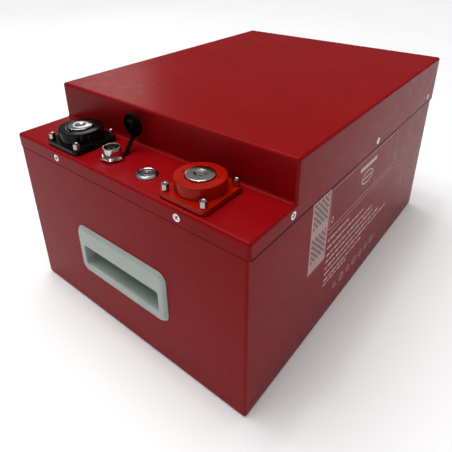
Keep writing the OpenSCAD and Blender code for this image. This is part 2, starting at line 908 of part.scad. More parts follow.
// Lug to the board's load pad, and board to the negative end of the cell chain
module negative_cable() {
    z = lug_barrel_z;
    start_y = terminal_y + lug_barrel_len;
    pad_z = board_z + board_t + 5.2;
    pad_x = board_x - board_w / 2 + 14;
    pad_y = board_y - board_l / 2 + 2;
    take_x = board_x + board_w / 2 - 2;
    take_y = board_y - board_l / 2 + 30;
    end_x = cell_x(row_cells - 1);
    end_y = row_y[1] - post_off;
    post_top = cell_top + post_h;
    color("black") {
        tube(smooth([[negative_x, start_y, z], [negative_x, start_y + 12, z],
                     [negative_x, start_y + 24, z], [pad_x, pad_y - 50, z + 4],
                     [pad_x, pad_y - 20, pad_z], [pad_x, pad_y - 10, pad_z],
                     [pad_x, pad_y, pad_z]], 4),
             power_cable_d / 2 - 0.2);
        tube(smooth([[take_x, take_y, pad_z], [take_x + 4, take_y, pad_z],
                     [take_x + 8, take_y, pad_z],
                     [end_x, end_y + 14, z], [end_x, end_y - 4, post_top + power_cable_d / 2]], 4),
             power_cable_d / 2 - 0.2);
    }
}

// Connector lead and button lead, both to the battery board
module signal_leads() {
    into_board = [board_x - board_w / 2 + 22, board_y + board_l / 2 - 12, board_z + board_t + 4];
    lead_top = lug_barrel_z + 2;
    color("dimgray") {
        tube(smooth([[connector_x, connector_y, lead_z + 11 - 0.2],
                     [connector_x + 1, connector_y + 4, lead_z + 4],
                     [connector_x + 6, riser_y - 12, lead_top - 4],
                     [connector_x + 6, riser_y + 20, lead_top],
                     [connector_x + 6, board_y - board_l / 2 - 14, lead_top + 2],
                     [connector_x + 6, board_y - board_l / 2, board_z + board_t + 2.2]], 5),
             lead_d / 2);
        tube(smooth([[button_x, button_y + 4, switch_low - 4],
                     [button_x + 2, button_y + 9, switch_low - 3],
                     [button_x + 4, riser_y - 8, lead_top - 2],
                     [button_x + 4, riser_y + 20, lead_top],
                     [button_x + 4, board_y - board_l / 2 - 14, lead_top + 2],
                     [button_x + 4, board_y - board_l / 2, board_z + board_t + 2.2]], 5),
             lead_d / 2);
    }
}

case_tub();
rim_frame();
lid();
seam_gasket();
lid_screws();
lid_nuts();
front_handle();
rear_handle();
handle_nuts();
side_label();
positive_base();
positive_insert();
positive_standoffs();
negative_base();
negative_insert();
negative_standoffs();
terminal_gaskets();
terminal_nuts();
cable_lugs();
connector_shell();
connector_nut();
connector_insert();
connector_pins();
connector_seal();
cap_strap();
cap_link();
dust_cap();
button_bezel();
button_plunger();
button_spring();
button_nut();
button_switch();
foam_pads();
cell_spacers();
end_plates();
cell_straps();
busbars();
bms_tray();
bms_board();
bms_heatsink();
fuse();
positive_cable();
negative_cable();
signal_leads();
for (n = [1 : 2 * row_cells]) cell(n);
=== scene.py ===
"""Looks of a battery box: painted sheet-metal case, recessed pulls, power terminals,
signal connector with its rubber cap, push button, and the printed side.

Metres throughout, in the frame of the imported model: +X right, -Y the front, +Z up.
"""

import json
import math

import bmesh
import bpy
from mathutils import Matrix, Vector


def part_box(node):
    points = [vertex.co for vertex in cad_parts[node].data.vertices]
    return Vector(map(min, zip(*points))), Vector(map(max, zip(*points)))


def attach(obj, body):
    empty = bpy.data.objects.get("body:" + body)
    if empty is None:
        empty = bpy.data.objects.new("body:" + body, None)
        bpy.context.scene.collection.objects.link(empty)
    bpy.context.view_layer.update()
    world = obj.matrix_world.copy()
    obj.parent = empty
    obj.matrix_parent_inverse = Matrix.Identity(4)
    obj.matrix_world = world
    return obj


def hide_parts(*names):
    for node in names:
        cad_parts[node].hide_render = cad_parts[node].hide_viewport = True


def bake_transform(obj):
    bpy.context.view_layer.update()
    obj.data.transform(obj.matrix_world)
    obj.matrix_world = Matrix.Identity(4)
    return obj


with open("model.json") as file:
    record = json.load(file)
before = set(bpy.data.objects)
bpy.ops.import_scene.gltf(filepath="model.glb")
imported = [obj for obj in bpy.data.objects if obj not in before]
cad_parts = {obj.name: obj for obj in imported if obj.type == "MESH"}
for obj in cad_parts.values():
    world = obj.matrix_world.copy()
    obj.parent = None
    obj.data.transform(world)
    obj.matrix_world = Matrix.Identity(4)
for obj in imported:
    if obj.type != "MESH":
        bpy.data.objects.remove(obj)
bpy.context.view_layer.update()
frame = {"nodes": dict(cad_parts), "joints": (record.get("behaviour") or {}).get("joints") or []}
NODES = frame["nodes"]
JOINTS = {joint["name"]: joint for joint in frame["joints"]}
MM = 0.001
TURN = 2 * math.pi
WELD = 1e-7  # points closer than this are one point
CREASE = math.radians(32)  # edges folded more than this stay sharp
UP = Vector((0, 0, 1))


# ---- frame helpers


def centre(node):
    """Middle of a CAD node's box."""
    low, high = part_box(node)
    return (low + high) / 2


def upright(spot):
    """Matrix that moves a shape drawn about Z to stand at a spot, its heights unchanged."""
    return Matrix.Translation((spot.x, spot.y, 0))


def solids(node):
    """Boxes (low, high) of the separate solids that a CAD node is made of."""
    welded = bmesh.new()
    welded.from_mesh(NODES[node].data)
    bmesh.ops.remove_doubles(welded, verts=welded.verts, dist=1e-6)
    seen, boxes = set(), []
    for start in welded.verts:
        if start in seen:
            continue
        group, stack = [], [start]
        seen.add(start)
        while stack:
            vert = stack.pop()
            group.append(vert.co.copy())
            for edge in vert.link_edges:
                other = edge.other_vert(vert)
                if other not in seen:
                    seen.add(other)
                    stack.append(other)
        boxes.append([Vector(pick(co[k] for co in group) for k in range(3))
                      for pick in (min, max)])
    welded.free()
    return boxes


CASE_LOW, CASE_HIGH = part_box("case_tub")
LID_LOW, LID_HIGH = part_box("lid")
DECK_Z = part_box("terminal_gaskets")[0].z
RISER_Y = min(v.co.y for v in NODES["lid"].data.vertices if v.co.z > LID_HIGH.z - 0.1 * MM)
SHEET = 1.5 * MM  # sheet thickness
BEND = 2.0 * MM  # outside radius of the tub's folds
LID_BEND = 2.5 * MM  # outside radius of the lid's folds
BARREL_R = 7.2 * MM  # connector barrel, outside
FLANGE_R = 9 * MM  # connector collar, and the strap's ring under its nut
CAP_HINGE = Vector(JOINTS["cap_hinge"]["pos_m"])
CAP_SWING = math.radians(JOINTS["cap_hinge"]["range_deg"][1])


# ---- mesh helpers


def put_in_scene(name, data):
    """Makes an object of a mesh, a lamp or a camera."""
    thing = bpy.data.objects.new(name, data)
    bpy.context.scene.collection.objects.link(thing)
    return thing


def mesh_object(name, mesh):
    """Turns a bmesh into an object with its faces pointing out."""
    bmesh.ops.recalc_face_normals(mesh, faces=mesh.faces)
    data = bpy.data.meshes.new(name)
    mesh.to_mesh(data)
    mesh.free()
    return put_in_scene(name, data)


def weld(mesh):
    """Joins the points that lie on each other."""
    bmesh.ops.remove_doubles(mesh, verts=mesh.verts, dist=WELD)


def add_piece(name, mesh, body, material, replaced=()):
    """Makes a piece of a bmesh, and lets it ride on a body if one is given."""
    piece = mesh_object(name, mesh)
    dress(piece, material)
    if body:
        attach(piece, body)
    if replaced:
        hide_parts(*replaced)
    return piece


def dress(piece, material):
    """Smooth shading with sharp creases, flat faces kept flat, and one material."""
    data = piece.data
    data.polygons.foreach_set("use_smooth", [True] * len(data.polygons))
    data.set_sharp_from_angle(angle=CREASE)
    normals = piece.modifiers.new("normals", "WEIGHTED_NORMAL")
    normals.keep_sharp = True
    normals.weight = 100
    data.materials.clear()
    data.materials.append(material)


def skin(mesh, rings, cap_first=True, cap_last=True):
    """Joins rings of equal length with quads, and closes the ends if asked."""
    loops = [[mesh.verts.new(co) for co in ring] for ring in rings]
    count = len(loops[0])
    for first, second in zip(loops, loops[1:]):
        for k in range(count):
            after = (k + 1) % count
            mesh.faces.new((first[k], first[after], second[after], second[k]))
    if cap_first:
        mesh.faces.new(loops[0][::-1])
    if cap_last:
        mesh.faces.new(loops[-1])


def circle(radius, height, segments=48):
    """Points of a level circle about Z."""
    return [(radius * math.cos(TURN * k / segments), radius * math.sin(TURN * k / segments),
             height) for k in range(segments)]


def in_mm(*points):
    """Profile points given in millimetres."""
    return [(radius * MM, height * MM) for radius, height in points]


def lathe(mesh, profile, place, segments=64):
    """Turns a profile of (radius, height) about Z. Where the radius is 0 it is closed."""
    spokes = circle(1, 0, segments)
    rings, poles = [], {}
    for index, (radius, height) in enumerate(profile):
        if radius < WELD:
            poles[index] = mesh.verts.new(place @ Vector((0, 0, height)))
            rings.append(None)
        else:
            rings.append([mesh.verts.new(place @ Vector((radius * c, radius * s, height)))
                          for c, s, _ in spokes])
    for index in range(len(profile) - 1):
        low, high = rings[index], rings[index + 1]
        for k in range(segments):
            after = (k + 1) % segments
            if low is None and high is not None:
                mesh.faces.new((poles[index], high[after], high[k]))
            elif high is None and low is not None:
                mesh.faces.new((low[k], low[after], poles[index + 1]))
            elif low is not None:
                mesh.faces.new((low[k], low[after], high[after], high[k]))


def arc(centre_r, centre_z, radius, start, end, steps):
    """Profile points on a circle, from start to end degrees."""
    return [(centre_r + radius * math.cos(math.radians(start + (end - start) * k / steps)),
             centre_z + radius * math.sin(math.radians(start + (end - start) * k / steps)))
            for k in range(steps + 1)]


def rounded_rect(width, height, radius, steps=6, middle=(0, 0)):
    """Points of a rectangle with round corners, of steps + 1 points each."""
    radius = max(radius, 0.02 * MM)
    points = []
    for corner in range(4):
        sign_u = 1 if corner in (0, 3) else -1
        sign_v = 1 if corner < 2 else -1
        for k in range(steps + 1):
            angle = math.radians(90 * (corner + k / steps))
            points.append((
                middle[0] + sign_u * (width / 2 - radius) + radius * math.cos(angle),
                middle[1] + sign_v * (height / 2 - radius) + radius * math.sin(angle)))
    return points


def hexagon_radius(angle, across_flats):
    """Distance from the middle of a hexagon to its side, with a flat at angle 0."""
    folded = (angle + TURN / 12) % (TURN / 6) - TURN / 12
    return across_flats / 2 / math.cos(folded)


def hex_rings(across_flats, levels, segments=48):
    """Hexagon rings at (height, largest radius) levels: a cone cuts the corners."""
    rings = []
    for height, limit in levels:
        ring = []
        for k in range(segments):
            angle = TURN * k / segments
            radius = min(hexagon_radius(angle, across_flats), limit)
            ring.append((radius * math.cos(angle), radius * math.sin(angle), height))
        rings.append(ring)
    return rings


def thread(radius, depth, pitch, top, bottom):
    """Profile down a tapped hole: ridges between the radius and radius + depth."""
    points, height = [], top
    while height - pitch > bottom:
        points += [(radius, height), (radius + depth, height - 0.5 * pitch)]
        height -= pitch
    return points + [(radius, height), (radius, bottom)]


def box_mesh(mesh, low, high):
    """Adds a box between two corners."""
    corners = ((low[0], low[1]), (high[0], low[1]), (high[0], high[1]), (low[0], high[1]))
    skin(mesh, [[Vector((x, y, z)) for x, y in corners] for z in (low[2], high[2])])


def apply_modifier(piece, kind, **settings):
    """Gives a piece one modifier in place of those it has, and applies it."""
    piece.modifiers.clear()
    modifier = piece.modifiers.new(kind, kind)
    for key, value in settings.items():
        setattr(modifier, key, value)
    bpy.context.view_layer.update()
    seen = piece.evaluated_get(bpy.context.evaluated_depsgraph_get())
    piece.data = bpy.data.meshes.new_from_object(seen)
    piece.modifiers.clear()


def cut(piece, cutter, material):
    """Takes the closed bmesh cutter out of a piece for good, and shades it again."""
    tool = mesh_object("cutter", cutter)
    apply_modifier(piece, "BOOLEAN", operation="DIFFERENCE", solver="EXACT", object=tool)
    bpy.data.objects.remove(tool)
    dress(piece, material)


def along(origin, outward):
    """Matrix that puts +Z along outward, and the origin at a point."""
    turn = UP.rotation_difference(Vector(outward))
    return Matrix.Translation(origin) @ turn.to_matrix().to_4x4()


# ---- materials


def set_inputs(node, **values):
    """Sets a node's sockets, named with _ for a space."""
    for key, value in values.items():
        node.inputs[key.replace("_", " ")].default_value = value


class Paint:
    """A node material: colour, roughness and bump, each varied by noise in object space."""

    def __init__(self, name, colour, roughness, metallic=0.0, specular=0.5):
        self.material = bpy.data.materials.new(name)
        self.material.use_nodes = True
        self.material.diffuse_color = (*colour, 1)
        self.tree = self.material.node_tree
        self.shader = self.tree.nodes["Principled BSDF"]
        set_inputs(self.shader, Base_Color=(*colour, 1), Roughness=roughness, Metallic=metallic,
                   Specular_IOR_Level=specular)
        self.place = self.tree.nodes.new("ShaderNodeTexCoord").outputs["Object"]

    def link(self, source, target):
        """Joins an output to an input."""
        self.tree.links.new(source, target)

    def noise(self, size, detail=3.0, stretch=(1, 1, 1)):
        """Noise whose features measure about size metres; stretch above 1 lengthens them."""
        mapping = self.tree.nodes.new("ShaderNodeMapping")
        set_inputs(mapping, Scale=[1 / s for s in stretch])
        noise = self.tree.nodes.new("ShaderNodeTexNoise")
        set_inputs(noise, Scale=1 / size, Detail=detail)
        self.link(self.place, mapping.inputs["Vector"])
        self.link(mapping.outputs["Vector"], noise.inputs["Vector"])
        return noise.outputs["Fac"]

    def spread(self, source, low, high, out_low, out_high):
        """A value from low..high mapped to out_low..out_high."""
        node = self.tree.nodes.new("ShaderNodeMapRange")
        set_inputs(node, From_Min=low, From_Max=high, To_Min=out_low, To_Max=out_high)
        self.link(source, node.inputs["Value"])
        return node.outputs["Result"]

    def vary_colour(self, size, contrast, first, second):
        """Two colours, mixed by noise of a size. Contrast is the span of noise that is used."""
        middle = 0.5
        source = self.spread(self.noise(size), middle - contrast / 2, middle + contrast / 2, 0, 1)
        mix = self.tree.nodes.new("ShaderNodeMix")
        mix.data_type = "RGBA"
        mix.inputs["A"].default_value = (*first, 1)
        mix.inputs["B"].default_value = (*second, 1)
        self.link(source, mix.inputs["Factor"])
        self.link(mix.outputs["Result"], self.shader.inputs["Base Color"])

    def vary_roughness(self, size, low, high, stretch=(1, 1, 1)):
        """Roughness between two values, by noise of a size."""
        noise = self.noise(size, 3, stretch)
        self.link(self.spread(noise, 0.3, 0.7, low, high), self.shader.inputs["Roughness"])

    def bump(self, source, strength, distance):
        """Bump by a height source, as deep as distance at strength 1."""
        node = self.tree.nodes.new("ShaderNodeBump")
        set_inputs(node, Strength=strength, Distance=distance)
        self.link(source, node.inputs["Height"])
        self.link(node.outputs["Normal"], self.shader.inputs["Normal"])

    def rings(self, middle, size):
        """Fine concentric rings about an upright axis through middle, as a lathe leaves them."""
        shift = self.tree.nodes.new("ShaderNodeMapping")
        set_inputs(shift, Location=(-middle[0], -middle[1], 0))
        wave = self.tree.nodes.new("ShaderNodeTexWave")
        wave.wave_type = "RINGS"
        wave.rings_direction = "Z"
        set_inputs(wave, Scale=1 / size / 20)
        self.link(self.place, shift.inputs["Vector"])
        self.link(shift.outputs["Vector"], wave.inputs["Vector"])
        return wave.outputs["Fac"]

    def coat(self, weight, roughness):
        """Clear coat over the paint."""
        set_inputs(self.shader, Coat_Weight=weight, Coat_Roughness=roughness)


def powder_coat():
    """Red paint of the case: even, with a satin sheen."""
    paint = Paint("red_powder_coat", (0.235, 0.002, 0.004), 0.30, specular=0.06)
    paint.vary_colour(50 * MM, 0.3, (0.222, 0.0018, 0.0035), (0.242, 0.0025, 0.0045))
    paint.vary_roughness(12 * MM, 0.26, 0.33)
    paint.bump(paint.noise(3 * MM, 1), 0.01, 0.02 * MM)
    return paint.material


def handle_enamel():
    """Grey enamel of the pulls."""
    paint = Paint("handle_grey_enamel", (0.37, 0.41, 0.38), 0.38, specular=0.3)
    paint.vary_colour(20 * MM, 0.3, (0.34, 0.39, 0.36), (0.38, 0.43, 0.40))
    paint.vary_roughness(4 * MM, 0.34, 0.46)
    paint.bump(paint.noise(0.5 * MM, 2), 0.06, 0.02 * MM)
    paint.coat(0.5, 0.08)
    return paint.material


def moulded(name, colour, lighter):
    """Glossy moulded plastic, with the soft waves that a mould leaves."""
    roughness = 0.16
    paint = Paint(name, colour, roughness, specular=0.06)
    paint.vary_colour(10 * MM, 0.3, colour, lighter)
    paint.vary_roughness(3 * MM, roughness - 0.04, roughness + 0.06)
    paint.bump(paint.noise(2.5 * MM, 2), 0.12, 0.08 * MM)
    paint.coat(0.12, 0.04)
    return paint.material


def bright_metal(name, colour, roughness):
    """Plated metal."""
    paint = Paint(name, colour, roughness, metallic=1.0)
    paint.vary_roughness(2 * MM, max(roughness - 0.05, 0.03), roughness + 0.08)
    paint.bump(paint.noise(0.6 * MM), 0.10, 0.02 * MM)
    return paint.material


def turned_metal(name, colour, middle, roughness):
    """Metal faced on a lathe, with rings about a middle."""
    paint = Paint(name, colour, roughness, metallic=1.0)
    paint.vary_roughness(3 * MM, roughness - 0.04, roughness + 0.06)
    paint.bump(paint.rings(middle, 0.35 * MM), 0.05, 0.02 * MM)
    return paint.material


def rubber(name, colour, roughness):
    """Dull rubber, and the soft jacket of a cable."""
    paint = Paint(name, colour, roughness, specular=0.04)
    paint.vary_colour(4 * MM, 0.3, colour, [c * 1.6 for c in colour])
    paint.vary_roughness(2 * MM, roughness - 0.1, roughness + 0.08)
    paint.bump(paint.noise(0.35 * MM, 2), 0.2, 0.04 * MM)
    return paint.material


def plain_plastic(name, colour, roughness=0.5):
    """Plastic, board and film without gloss."""
    paint = Paint(name, colour, roughness)
    paint.vary_colour(10 * MM, 0.4, [c * 0.9 for c in colour], [c * 1.1 for c in colour])
    paint.bump(paint.noise(0.5 * MM, 2), 0.15, 0.03 * MM)
    return paint.material


def rolled_metal(name, colour, roughness=0.38, stretch=(1, 12, 1)):
    """Sheet or wire with a grain along one way."""
    paint = Paint(name, colour, roughness, metallic=1.0)
    paint.vary_roughness(2 * MM, roughness - 0.1, roughness + 0.1, stretch)
    paint.bump(paint.noise(0.4 * MM, 2, stretch), 0.15, 0.02 * MM)
    return paint.material


def printed(name, colour):
    """Ink or film on the paint."""
    roughness = 0.4
    paint = Paint(name, colour, roughness)
    paint.vary_colour(6 * MM, 0.4, [c * 0.88 for c in colour], colour)
    paint.vary_roughness(3 * MM, roughness - 0.06, roughness + 0.06)
    return paint.material


RED = powder_coat()
GREY = handle_enamel()
ORANGE = moulded("orange_moulding", (0.29, 0.005, 0.0004), (0.33, 0.006, 0.0005))
BLACK = moulded("black_moulding", (0.002, 0.002, 0.002), (0.004, 0.004, 0.004))
CHROME = bright_metal("chrome", (0.62, 0.62, 0.63), 0.10)
BEZEL = bright_metal("bezel_chrome", (0.44, 0.44, 0.45), 0.12)
NICKEL = bright_metal("bright_nickel", (0.40, 0.40, 0.38), 0.12)
SCREW = bright_metal("screw_nickel", (0.80, 0.79, 0.77), 0.30)
RUBBER = rubber("black_rubber", (0.001, 0.001, 0.001), 0.6)
INSERT = plain_plastic("insert_black", (0.012, 0.012, 0.013))
GOLD = bright_metal("pin_gold", (0.85, 0.62, 0.28), 0.2)
FILM = printed("label_film", (0.50, 0.27, 0.26))
INK_DARK = printed("label_ink", (0.035, 0.02, 0.022))
INK_PALE = printed("side_ink", (0.62, 0.42, 0.42))


# ---- case


def case_shell():
    """Folded tub: rounded bends outside and in, and a window at each end for the pulls."""
    width = CASE_HIGH.x - CASE_LOW.x
    length = CASE_HIGH.y - CASE_LOW.y
    top = CASE_HIGH.z
    lip = 0.25 * MM
    levels = [(BEND * (1 - math.sin(angle)), BEND * (1 - math.cos(angle)))
              for angle in (math.radians(step) for step in range(0, 91, 18))]
    levels += [(0, top - lip), (lip, top), (SHEET - lip, top), (SHEET, top - lip), (SHEET, SHEET)]
    mesh = bmesh.new()
    rings = []
    for inset, height in levels:
        outline = rounded_rect(width - 2 * inset, length - 2 * inset, BEND - inset)
        rings.append([Vector((x, y, height)) for x, y in outline])
    skin(mesh, rings)
    piece = add_piece("case_shell", mesh, "case", RED, replaced=["case_tub"])
    windows = bmesh.new()
    gap, reach = 0.3 * MM, 4 * MM
    for node, face in (("front_handle", -CASE_HIGH.y), ("rear_handle", CASE_HIGH.y)):
        low, high = pocket_box(node)
        box_mesh(windows, (low.x - gap, face - reach, low.z - gap),
                 (high.x + gap, face + reach, high.z + gap))
    cut(piece, windows, RED)


def pocket_box(node):
    """The part of a pull that is inside the case."""
    low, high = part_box(node)
    flange_depth = 9 * MM
    inner = [v.co for v in NODES[node].data.vertices
             if abs(v.co.y) < CASE_HIGH.y - flange_depth]
    low = Vector((min(c.x for c in inner), low.y, min(c.z for c in inner)))
    high = Vector((max(c.x for c in inner), high.y, max(c.z for c in inner)))
    return low, high


def seam_shadow_strip():
    """Black strip under the lid's overhang at each side, a painted shadow: it stands in for the
    shade the overhang casts on the tub.
    """
    mesh = bmesh.new()
    inner, outer = CASE_HIGH.x - 0.2 * MM, CASE_HIGH.x + 1.4 * MM
    drop, short = 1.5 * MM, 2 * MM
    for side in (-1, 1):
        near, far = sorted((side * inner, side * outer))
        box_mesh(mesh, (near, CASE_LOW.y + short, LID_LOW.z - drop),
                 (far, CASE_HIGH.y - short, LID_LOW.z))
    # painted shadow: a black strip where the lid's overhang shades the tub
    add_piece("seam_side_shadow_strip", mesh, "case", RUBBER)


def lid_shell():
    """Folded lid: deck, riser, raised top and skirt, bent with small radii."""
    half = LID_HIGH.x
    front, back = LID_LOW.y, LID_HIGH.y
    outline = [(front, LID_LOW.z), (front, DECK_Z), (RISER_Y, DECK_Z),
               (RISER_Y, LID_HIGH.z), (back, LID_HIGH.z), (back, LID_LOW.z)]
    mesh = bmesh.new()
    left = [mesh.verts.new((-half, y, z)) for y, z in outline]
    right = [mesh.verts.new((half, y, z)) for y, z in outline]
    mesh.faces.new(left)
    mesh.faces.new(right[::-1])
    for k in range(len(outline) - 1):
        mesh.faces.new((left[k], right[k], right[k + 1], left[k + 1]))
    bmesh.ops.recalc_face_normals(mesh, faces=mesh.faces)
    open_edge = LID_LOW.z + 1e-6
    edges = [edge for edge in mesh.edges if max(v.co.z for v in edge.verts) > open_edge]
    bmesh.ops.bevel(mesh, geom=edges, offset=LID_BEND, offset_type="OFFSET", segments=6,
                    profile=0.5, affect="EDGES", clamp_overlap=True)
    piece = add_piece("lid_shell", mesh, "case", RED, replaced=["lid"])
    apply_modifier(piece, "SOLIDIFY", thickness=SHEET, offset=-1)
    holes = bmesh.new()
    reach = 4 * MM
    for node, radius in (("positive_insert", 10.2 * MM), ("negative_insert", 10.2 * MM),
                         ("connector_shell", 7.3 * MM), ("button_bezel", 8.1 * MM)):
        spot = centre(node)
        lathe(holes, [(0, -reach), (radius, -reach), (radius, reach), (0, reach)],
              Matrix.Translation((spot.x, spot.y, DECK_Z)))
    countersunk = in_mm((0, -3), (1.85, -3), (1.85, -1.45), (3.4, 0), (3.5, 0.4), (0, 0.4))
    for origin, outward in screw_places():
        lathe(holes, countersunk, along(origin, outward), 40)
    cut(piece, holes, RED)


def screw_places():
    """Where each lid screw's head meets the case, and which way it faces."""
    places = []
    near_wall = CASE_HIGH.x - 8 * MM
    for low, high in solids("lid_screws"):
        middle = (low + high) / 2
        if abs(middle.x) > near_wall:
            side = math.copysign(1, middle.x)
            places.append((Vector((side * LID_HIGH.x, middle.y, middle.z)), (side, 0, 0)))
        else:
            side = math.copysign(1, middle.y)
            places.append((Vector((middle.x, side * LID_HIGH.y, middle.z)), (0, side, 0)))
    return places


def lid_screws():
    """Countersunk cross-recess screws, each turned to its own angle."""
    mesh, recess = bmesh.new(), bmesh.new()
    head, shank, length = 3.08 * MM, 1.5 * MM, 10 * MM  # radii and length
    first_turn, next_turn = 17, 37  # degrees
    for index, (origin, outward) in enumerate(screw_places()):
        place = along(origin, outward)
        lathe(mesh, [(0, -length), (shank - 0.4 * MM, -length), (shank, -length + 0.5 * MM),
                     (shank, -1.6 * MM), (head - 0.15 * MM, -0.22 * MM), (head, -0.12 * MM),
                     (head - 0.12 * MM, -0.03 * MM), (head * 0.6, 0), (0, 0)], place, 40)
        angle = math.radians(first_turn + next_turn * index)
        spin = place @ Matrix.Rotation(angle, 4, "Z")
        cross_cutter(recess, spin, 2.3 * MM, 0.6 * MM, 2.2 * MM)
    piece = add_piece("lid_screw_set", mesh, "case", SCREW,
                      replaced=["lid_screws"])
    cut(piece, recess, SCREW)


def cross_cutter(mesh, place, reach, half_width, depth):
    """A tapered cross, as a cross-head driver leaves it."""
    shape = []
    tip = half_width * 0.8
    for arm in range(4):
        turn = Matrix.Rotation(TURN * arm / 4, 3, "Z")
        for u, v in ((half_width, -half_width), (reach, -tip), (reach, tip)):
            shape.append(turn @ Vector((u, v, 0)))
    rings = []
    for scale, height in ((0.7, -depth), (1.0, -0.1 * MM), (1.0, 0.5 * MM)):
        rings.append([place @ Vector((p.x * scale, p.y * scale, height)) for p in shape])
    skin(mesh, rings)


# ---- pulls


def pull(name, node, turn):
    """Recessed pull: sloped frame, grip lip, and a scooped pocket that runs up behind it."""
    low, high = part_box("front_handle")
    inner_low, inner_high = pocket_box("front_handle")
    face = CASE_LOW.y
    proud = face - low.y
    deep = high.y - face
    width = high.x - low.x
    middle_z = (low.z + high.z) / 2
    wall = 1.6 * MM
    corner = 8 * MM
    mouth_low, mouth_high = middle_z - 14.8 * MM, middle_z + 5.2 * MM
    mouth_w = inner_high.x - inner_low.x - 2 * wall
    back_low, back_high = inner_low.z + wall, inner_high.z - wall
    slope = 3.2 * MM

    def ring(w, z0, z1, radius, out):
        """A rounded rectangle at a distance out of the case's face."""
        outline = rounded_rect(w, z1 - z0, radius, 8, (0, (z0 + z1) / 2))
        return [turn @ Vector((u, face - out, v)) for u, v in outline]

    def outer(inset, out, radius):
        """The frame's outline, drawn in by an inset."""
        return ring(width - 2 * inset, low.z + inset, high.z - inset, radius, out)

    def mouth(inset, out, radius):
        """The pocket's mouth, drawn in by an inset."""
        return ring(mouth_w - 2 * inset, mouth_low + inset, mouth_high - inset, radius, out)

    lip = 1.5 * MM
    mesh = bmesh.new()
    rings = [outer(0, 0, corner), outer(0, 0.5 * MM, corner),
             outer(0.25 * MM, 0.9 * MM, 7.9 * MM), outer(slope * 0.45, proud * 0.72, 7.2 * MM),
             outer(slope * 0.75, proud * 0.93, 6.6 * MM), outer(slope, proud, 6 * MM),
             mouth(-1.2 * MM, proud, 3.4 * MM), mouth(-0.5 * MM, proud - 0.2 * MM, 2.9 * MM),
             mouth(-0.1 * MM, proud - 0.7 * MM, 2.5 * MM), mouth(0, proud - lip, 2.4 * MM),
             mouth(0, -1.2 * MM, 2.4 * MM)]
    for share in (0.25, 0.5, 0.75, 1.0):
        rings.append(ring(mouth_w, mouth_low + (back_low - mouth_low) * share,
                          mouth_high + (back_high - mouth_high) * share,
                          (2.4 + 2.6 * share) * MM, (-1.3 - 0.4 * share) * MM))
    scoop = 8 * MM  # radius between the pocket's sides and its back
    floor = deep - wall
    for angle in (math.radians(step) for step in range(15, 91, 15)):
        inset = scoop * (1 - math.cos(angle))
        rings.append(ring(mouth_w - 2 * inset, back_low + inset, back_high - inset,
                          5 * MM, -(floor - scoop) - scoop * math.sin(angle)))
    skin(mesh, rings, cap_first=False)
    pocket_w, taper = mouth_w + 2 * wall, 2 * MM
    outside = [outer(0, 0, corner),
               ring(pocket_w, inner_low.z, inner_high.z, 4 * MM, -0.05 * MM),
               ring(pocket_w, inner_low.z, inner_high.z, 4 * MM, -deep + taper),
               ring(pocket_w - 2 * taper, inner_low.z + taper, inner_high.z - taper,
                    4 * MM, -deep)]
    skin(mesh, outside, cap_first=False)
    weld(mesh)
    stud = in_mm((0, 0.2), (1.5, 0.2), (1.5, -7.6), (1.1, -8), (0, -8))
    for nut_low, nut_high in solids("handle_nuts"):
        spot = (nut_low + nut_high) / 2
        if spot.y < 0:
            lathe(mesh, stud, turn @ along(Vector((spot.x, face, spot.z)), (0, -1, 0)), 24)
    add_piece(name, mesh, "case", GREY, replaced=[node])


# ---- terminals


